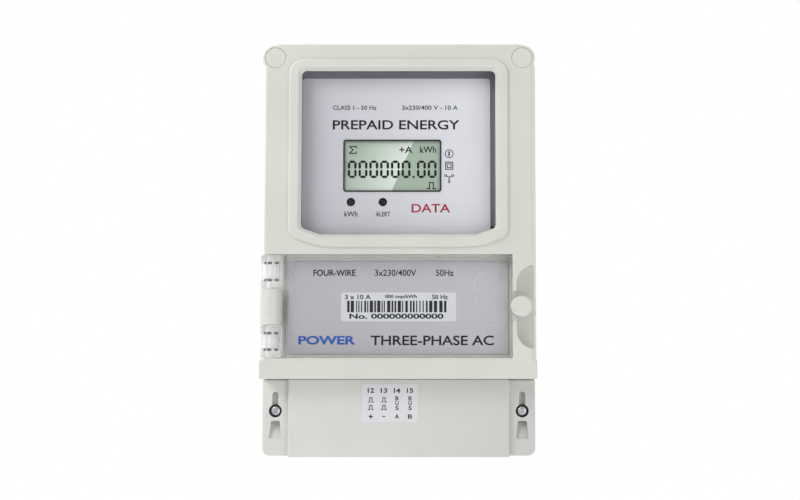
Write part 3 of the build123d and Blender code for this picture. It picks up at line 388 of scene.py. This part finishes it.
class Print:
    """Thin print on the front of a CAD node. Millimetres from that node's middle, X right and Z up."""

    def __init__(self, name, node, body, slot, material, face=None, thick=0.03):
        low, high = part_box(node)
        self.middle = (low + high) / 2
        self.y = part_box(face or node)[0].y - PRINT_LIFT
        self.name, self.body, self.slot, self.material, self.thick = name, body, slot, material, thick
        self.mesh = bmesh.new()

    def at(self, x, z):
        return (self.middle.x + x * MM, self.y, self.middle.z + z * MM)

    def polygon(self, points):
        self.mesh.faces.new([self.mesh.verts.new(self.at(x, z)) for x, z in points])

    def bar(self, x, z):
        """A rectangle between two X values and two heights."""
        self.polygon([(x[0], z[0]), (x[1], z[0]), (x[1], z[1]), (x[0], z[1])])

    def stroke(self, points, width):
        """A line of even width through points: one quad for each run, a little long to close its corner."""
        for (x0, z0), (x1, z1) in zip(points, points[1:]):
            length = math.hypot(x1 - x0, z1 - z0)
            ux, uz = (x1 - x0) / length * width / 2, (z1 - z0) / length * width / 2
            self.polygon([
                (x0 - ux + uz, z0 - uz - ux),
                (x1 + ux + uz, z1 + uz - ux),
                (x1 + ux - uz, z1 + uz + ux),
                (x0 - ux - uz, z0 - uz + ux),
            ])

    def ring(self, x, z, radius, width, turn=(0.0, 1.0), count=36):
        """A ring, or the part of it between two fractions of a turn."""
        angles = [2 * math.pi * (turn[0] + (turn[1] - turn[0]) * i / count) for i in range(count + 1)]
        outer = [(x + radius * math.cos(a), z + radius * math.sin(a)) for a in angles]
        inner = [(x + (radius - width) * math.cos(a), z + (radius - width) * math.sin(a)) for a in angles]
        for i in range(count):
            self.polygon([outer[i], outer[i + 1], inner[i + 1], inner[i]])

    def frame(self, x, z, width):
        """A rectangular outline."""
        self.bar(x, (z[1] - width, z[1]))
        self.bar(x, (z[0], z[0] + width))
        self.bar((x[0], x[0] + width), (z[0] + width, z[1] - width))
        self.bar((x[1] - width, x[1]), (z[0] + width, z[1] - width))

    def words(self, text, x, z, bold=0.012):
        """Generic lettering that fills the span between two X values and two heights."""
        curve = bpy.data.curves.new("lettering", "FONT")
        curve.body = text
        curve.resolution_u = 4
        curve.offset = bold
        holder = bpy.data.objects.new("lettering", curve)
        bpy.context.collection.objects.link(holder)
        shape = bpy.data.meshes.new_from_object(holder.evaluated_get(bpy.context.evaluated_depsgraph_get()))
        xs = [v.co.x for v in shape.vertices]
        zs = [v.co.y for v in shape.vertices]
        scale_x = (x[1] - x[0]) / (max(xs) - min(xs))
        scale_z = (z[1] - z[0]) / (max(zs) - min(zs))
        for v in shape.vertices:
            v.co = self.at((v.co.x - min(xs)) * scale_x + x[0], (v.co.y - min(zs)) * scale_z + z[0])
        self.mesh.from_mesh(shape)
        bpy.data.objects.remove(holder)
        bpy.data.curves.remove(curve)
        bpy.data.meshes.remove(shape)

    def finish(self):
        """Turns the flat outlines to the front, gives them their thickness and places the piece."""
        bmesh.ops.remove_doubles(self.mesh, verts=self.mesh.verts[:], dist=1e-7)
        for face in self.mesh.faces:
            face.normal_update()
            if face.normal.y > 0:
                face.normal_flip()
        bmesh.ops.solidify(self.mesh, geom=self.mesh.faces[:], thickness=self.thick * MM)
        return place_piece(self.name, self.mesh, self.material, self.body)


def place_piece(name, mesh, material, body):
    data = bpy.data.meshes.new(name)
    mesh.to_mesh(data)
    mesh.free()
    data.materials.append(material)
    obj = bpy.data.objects.new(name, data)
    bpy.context.collection.objects.link(obj)
    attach(obj, body)
    return obj


def print_faceplate():
    black = Print("faceplate_black_print", "faceplate", "case", "black_plastic", INKS["black_ink"])
    for word in TITLE_WORDS:
        black.words(*word)
    black.finish()
    grey = Print("faceplate_grey_print", "faceplate", "case", "black_plastic", INKS["grey_ink"])
    for word in CLASS_WORDS:
        grey.words(*word)
    symbol_x = 32.7
    grey.ring(symbol_x, 3.5, 2.7, 0.55)
    grey.words("1", (symbol_x - 0.5, symbol_x + 0.4), (2.0, 5.0), 0.02)
    grey.frame((symbol_x - 2.5, symbol_x + 2.5), (-6.5, -1.5), 0.6)
    grey.frame((symbol_x - 1.4, symbol_x + 1.4), (-5.4, -2.6), 0.5)
    fork_z, fork_stop = -11.2, 0.6
    for x, z in ((-2.2, 1.1), (2.2, 1.1), (0.0, -2.7)):
        length = math.hypot(x, z)
        near = (symbol_x + x * (1 - fork_stop / length), fork_z + z * (1 - fork_stop / length))
        grey.stroke([(symbol_x, fork_z), near], 0.55)
        grey.ring(symbol_x + x, fork_z + z, 0.85, 0.45, count=16)
    grey.finish()
    red = Print("faceplate_red_print", "faceplate", "case", "lamp_red", INKS["red_ink"])
    red.words("DATA", (9.5, 33.3), (-33.0, -27.7), 0.014)
    red.finish()


# Each stroke of a zero in a seven-segment digit, as fractions of its width and height
SEGMENTS = (
    ((0, 1), (1, 1)),
    ((1, 1), (1, 0.5)),
    ((1, 0.5), (1, 0)),
    ((0, 0), (1, 0)),
    ((0, 0.5), (0, 0)),
    ((0, 1), (0, 0.5)),
)
DIGIT_WIDTH, DIGIT_HEIGHT, DIGIT_PITCH, SEGMENT_THICK, SEGMENT_GAP = 5.5, 10.9, 6.67, 1.5, 0.16


def digit_zero(sheet, x, z):
    """Six segments with tapered ends and a small gap between them."""
    half = SEGMENT_THICK / 2
    span_x, span_z = DIGIT_WIDTH - 2 * half, DIGIT_HEIGHT - 2 * half
    for start, end in SEGMENTS:
        ax, az = x + half + start[0] * span_x, z + half + start[1] * span_z
        bx, bz = x + half + end[0] * span_x, z + half + end[1] * span_z
        length = math.hypot(bx - ax, bz - az)
        ux, uz = (bx - ax) / length, (bz - az) / length
        vx, vz = -uz * half, ux * half
        ax, az = ax + ux * SEGMENT_GAP, az + uz * SEGMENT_GAP
        bx, bz = bx - ux * SEGMENT_GAP, bz - uz * SEGMENT_GAP
        sheet.polygon([
            (ax, az),
            (ax + ux * half + vx, az + uz * half + vz),
            (bx - ux * half + vx, bz - uz * half + vz),
            (bx, bz),
            (bx - ux * half - vx, bz - uz * half - vz),
            (ax + ux * half - vx, az + uz * half - vz),
        ])


def print_display():
    sheet = Print("lcd_segments", "lcd_glass", "case", "black_plastic", INKS["lcd_ink"])
    low, whole_left, fraction_left = -7.5, -27.6, 15.2
    for i in range(6):
        digit_zero(sheet, whole_left + i * DIGIT_PITCH, low)
    for i in range(2):
        digit_zero(sheet, fraction_left + i * DIGIT_PITCH, low)
    sheet.bar((12.5, 13.7), (low, low + 1.3))
    for word in DISPLAY_WORDS:
        sheet.words(*word)
    sheet.stroke(SUM_SIGN, 0.62)
    sheet.stroke(PULSE_SIGN, 0.65)
    sheet.finish()


def print_rating_plate():
    black = Print("rating_black_print", "rating_plate", "case", "black_plastic", INKS["black_ink"])
    for word in RATING_WORDS:
        black.words(*word)
    black.finish()
    blue = Print("rating_blue_print", "rating_plate", "case", "black_plastic", INKS["blue_ink"])
    blue.words("POWER", (-61.2, -26.2), (-22.7, -17.3), 0.035)
    blue.finish()


def print_barcode():
    black = Print("barcode_print", "barcode_label", "case", "black_plastic", INKS["black_ink"])
    rng = random.Random(7)
    x = -31.6
    while x < 29.0:
        width = rng.choice((0.7, 1.1, 1.5, 2.0))
        black.bar((x, min(x + width, 29.5)), (-3.3, 3.8))
        x += width + rng.choice((0.7, 0.9, 1.3))
    for word in BARCODE_WORDS:
        black.words(*word)
    black.finish()


def print_terminal_label():
    black = Print(
        "terminal_label_print", "terminal_label", "terminal_cover", "black_plastic", INKS["black_ink"]
    )
    for column, (number, sign) in enumerate((("12", "+"), ("13", "-"), ("14", "A"), ("15", "B"))):
        x = -11.8 + 8.02 * column
        black.words(number, (x - 1.95, x + 1.95), (6.3, 9.2), 0.02)
        if column < 2:
            for foot in (0.7, -3.9):
                pulse = [(-1.6, 0), (-0.7, 0), (-0.7, 2.6), (0.7, 2.6), (0.7, 0), (1.6, 0)]
                black.stroke([(x + dx, foot + dz) for dx, dz in pulse], 0.5)
        else:
            for letter, foot in zip("BUS", (1.7, -1.2, -4.2)):
                black.words(letter, (x - 1.0, x + 1.0), (foot, foot + 2.5), 0.02)
        half, height = (0.9, 0.5) if sign == "-" else (1.3, 2.7)
        black.words(sign, (x - half, x + half), (-8.1 - height / 2, -8.1 + height / 2), 0.02)
    black.finish()


# ---------------------------------------------------------------- small moulded and fitted pieces

def make_door_ridges():
    """The fine ridges moulded on the door: a grip outline, two ribs with curled ends and four snap marks."""
    sheet = Print(
        "door_ridges", "rating_plate", "door", "clear_plastic", RIDGE_PLASTIC, face="clear_door", thick=0.15
    )
    grip_x, grip_z, radius, straight, width = 53.7, 6.1, 7.6, 8.8, 0.32
    sheet.ring(grip_x, grip_z + straight, radius, width, (0.0, 0.5))
    sheet.ring(grip_x, grip_z - straight, radius, width, (0.5, 1.0))
    for side in (-1, 1):
        edge = grip_x + side * (radius - width / 2)
        sheet.bar((edge - width / 2, edge + width / 2), (grip_z - straight, grip_z + straight))
        rib_z = grip_z + side * 1.45
        sheet.bar((grip_x - radius, grip_x + radius), (rib_z - 0.12, rib_z + 0.12))
    for rib_x in (-62.7, 62.3):
        sheet.bar((rib_x - 0.3, rib_x + 0.3), (16.6, 28.6))
        sheet.bar((rib_x - 0.15, rib_x + 0.15), (-27.8, -16.5))
        for curl_z in (14.2, -13.0):
            sheet.ring(rib_x - 0.6, curl_z, 1.5, 0.35, (-0.2, 0.3), 12)
            sheet.ring(rib_x - 0.9, curl_z - 2.6, 1.3, 0.3, (-0.15, 0.25), 12)
    for x in (-29.4, 28.9):
        for z in (30.2, -29.6):
            sheet.bar((x - 4.7, x + 4.7), (z - 0.35, z + 0.35))
    sheet.finish()


def bevelled_box(mesh, low, high, bevel):
    """Adds a box with rounded edges between two corners."""
    middle = (low + high) / 2
    scale = Matrix.Diagonal((*(high - low), 1))
    made = bmesh.ops.create_cube(mesh, size=1, matrix=Matrix.Translation(middle) @ scale)
    edges = list({e for v in made["verts"] for e in v.link_edges})
    bmesh.ops.bevel(mesh, geom=edges, offset=bevel, segments=3, profile=0.5, affect="EDGES")


def make_collar_refraction_marks():
    """Rows of small dark grey blocks at the inner ends of the door's four clear hinge collars: painted
    refraction, dark marks standing in for the refractions seen in the clear collars.
    """
    pin_low, pin_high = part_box("hinge_pin")
    door_low, door_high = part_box("clear_door")
    axis = (pin_low + pin_high) / 2
    knuckle_half, collar, radius = 11.3 * MM, 5.2 * MM, 6.3 * MM
    inset, mark_half, depth, proud = 0.4 * MM, 0.75 * MM, 0.9 * MM, 0.06 * MM
    plate_low, plate_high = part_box("rating_plate")
    middle = plate_low.z / 2 + plate_high.z / 2 + 0.3 * MM
    rows = (
        door_high.z - collar + inset,
        middle + knuckle_half + collar - inset,
        middle - knuckle_half - collar + inset,
        door_low.z + collar - inset,
    )
    mesh = bmesh.new()
    for row in rows:
        for offset, half in ((-2.9, 0.8), (-0.3, 1.3), (4.0, 1.2)):
            x = axis.x + offset * MM
            reach = math.sqrt(radius ** 2 - (offset * MM) ** 2) if offset < 3 else radius - 0.1 * MM
            front = axis.y - reach - proud
            low = Vector((x - half * MM, front, row - mark_half))
            high = Vector((x + half * MM, front + depth, row + mark_half))
            bevelled_box(mesh, low, high, 0.15 * MM)
    # painted refraction: opaque dark grey where the clear collars show dark refracted bands
    shade = moulded_plastic("painted_refraction_grey", (0.15, 0.15, 0.145), rough=0.2, wear=0.3)
    place_piece("collar_refraction_marks", mesh, shade, "door")


def make_faceplate_tray():
    """The tray round the faceplate: a wall up to the window pane and a ledge behind the plate's edges."""
    pane_low, pane_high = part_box("window_pane")
    plate_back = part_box("faceplate")[1].y
    inset, radius, steps = 1.2 * MM, 5.5 * MM, 8
    wall, ledge, gap = 0.7 * MM, 5.0 * MM, 0.2 * MM
    left, right, top = pane_low.x + inset, pane_high.x - inset, pane_high.z - inset
    foot = pane_low.z + 9.0 * MM
    path = [(left, foot, 1.0, 0.0)]
    for centre_x, first_turn in ((left + radius, 0.5), (right - radius, 0.25)):
        for i in range(steps + 1):
            turn = 2 * math.pi * (first_turn - 0.25 * i / steps)
            across, up = math.cos(turn), math.sin(turn)
            path.append((centre_x + radius * across, top - radius + radius * up, -across, -up))
    path.append((right, foot, -1.0, 0.0))
    front, ledge_front = pane_high.y + gap, plate_back + gap
    profile = (
        (-wall, front),
        (0.0, front),
        (0.0, ledge_front),
        (ledge, ledge_front),
        (ledge, ledge_front + wall),
        (-wall, ledge_front + wall),
    )
    mesh = bmesh.new()
    loops = []
    for x, z, across, up in path:
        loops.append([mesh.verts.new((x + across * inward, y, z + up * inward)) for inward, y in profile])
    for loop, following in zip(loops, loops[1:]):
        for i in range(len(profile)):
            j = (i + 1) % len(profile)
            mesh.faces.new((loop[i], loop[j], following[j], following[i]))
    mesh.faces.new(loops[0])
    mesh.faces.new(reversed(loops[-1]))
    bmesh.ops.recalc_face_normals(mesh, faces=mesh.faces[:])
    tray = moulded_plastic("tray_plastic", (0.25, 0.24, 0.285), rough=0.5, wear=0.1)
    place_piece("faceplate_tray", mesh, tray, "case")


def make_screw_rings():
    """A rubber ring round the head of each captive cover screw."""
    for side in ("left", "right"):
        low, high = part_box("cover_screw_" + side)
        middle = (low + high) / 2
        ring_radius, wire, level = 3.42 * MM, 0.56 * MM, low.y + 1.6 * MM
        mesh = bmesh.new()
        steps, sides = 48, 12
        loops = []
        for i in range(steps):
            turn = 2 * math.pi * i / steps
            loop = []
            for j in range(sides):
                roll = 2 * math.pi * j / sides
                reach = ring_radius + wire * math.cos(roll)
                across, up = reach * math.cos(turn), reach * math.sin(turn)
                loop.append(mesh.verts.new((middle.x + across, level + wire * math.sin(roll), middle.z + up)))
            loops.append(loop)
        for i in range(steps):
            for j in range(sides):
                following = loops[(i + 1) % steps]
                k = (j + 1) % sides
                mesh.faces.new((loops[i][j], loops[i][k], following[k], following[j]))
        bmesh.ops.recalc_face_normals(mesh, faces=mesh.faces[:])
        for face in mesh.faces:
            face.smooth = True
        rubber = MATERIALS["soft_rubber"]
        place_piece("cover_screw_ring_" + side, mesh, rubber, "terminal_cover")


# ---------------------------------------------------------------- light, floor, camera

def make_floor():
    half, level = FLOOR_HALF, cad_box[0][2] - FLOOR_DROP
    mesh = bpy.data.meshes.new("floor")
    corners = [(-half, -half, level), (half, -half, level), (half, half, level), (-half, half, level)]
    mesh.from_pydata(corners, [], [(0, 1, 2, 3)])
    floor = bpy.data.objects.new("floor", mesh)
    bpy.context.collection.objects.link(floor)
    mesh.materials.append(moulded_plastic("floor_paint", (0.92, 0.92, 0.92), rough=0.7, wear=0.0))


def area_lamp(name, place, aim, size, watts):
    data = bpy.data.lights.new(name, "AREA")
    data.shape = "RECTANGLE"
    data.size, data.size_y = size
    data.energy = watts
    lamp = bpy.data.objects.new(name, data)
    bpy.context.collection.objects.link(lamp)
    lamp.location = place
    lamp.rotation_euler = (Vector(aim) - Vector(place)).to_track_quat("-Z", "Y").to_euler()


def make_light():
    """A white studio: bright behind the object, dimmer before it, with three soft lamps."""
    world = bpy.data.worlds.new("studio")
    bpy.context.scene.world = world
    world.use_nodes = True
    tree = world.node_tree
    background = tree.nodes["Background"]
    facing = tree.nodes.new("ShaderNodeSeparateXYZ")
    tree.links.new(tree.nodes.new("ShaderNodeTexCoord").outputs["Generated"], facing.inputs["Vector"])
    ramp = tree.nodes.new("ShaderNodeValToRGB")
    first, last = ramp.color_ramp.elements
    first.position, first.color = 0.35, (FRONT_WORLD, FRONT_WORLD, FRONT_WORLD, 1)
    last.position, last.color = 0.65, (1, 1, 1, 1)
    span = tree.nodes.new("ShaderNodeMapRange")
    span.inputs["From Min"].default_value = -1.0
    tree.links.new(facing.outputs["Y"], span.inputs["Value"])
    tree.links.new(span.outputs["Result"], ramp.inputs["Fac"])
    mix = tree.nodes.new("ShaderNodeMix")
    mix.data_type = "RGBA"
    tree.links.new(tree.nodes.new("ShaderNodeLightPath").outputs["Is Camera Ray"], mix.inputs[0])
    tree.links.new(ramp.outputs["Color"], mix.inputs[6])
    mix.inputs[7].default_value = (1, 1, 1, 1)
    tree.links.new(mix.outputs[2], background.inputs["Color"])
    for lamp in LAMPS:
        area_lamp(*lamp)


def make_camera():
    data = bpy.data.cameras.new("camera")
    data.sensor_width = SENSOR_WIDTH
    data.lens = LENS
    data.shift_x = SHIFT_X
    camera = bpy.data.objects.new("camera", data)
    bpy.context.collection.objects.link(camera)
    camera.location = CAMERA_PLACE
    camera.rotation_euler = (Vector(CAMERA_AIM) - camera.location).to_track_quat("-Z", "Y").to_euler()
    bpy.context.scene.camera = camera


dress_cad_nodes()
print_faceplate()
print_display()
print_rating_plate()
print_barcode()
print_terminal_label()
make_door_ridges()
make_collar_refraction_marks()
make_faceplate_tray()
make_screw_rings()
make_floor()
make_light()
make_camera()
bpy.context.scene.view_settings.view_transform = "Standard"
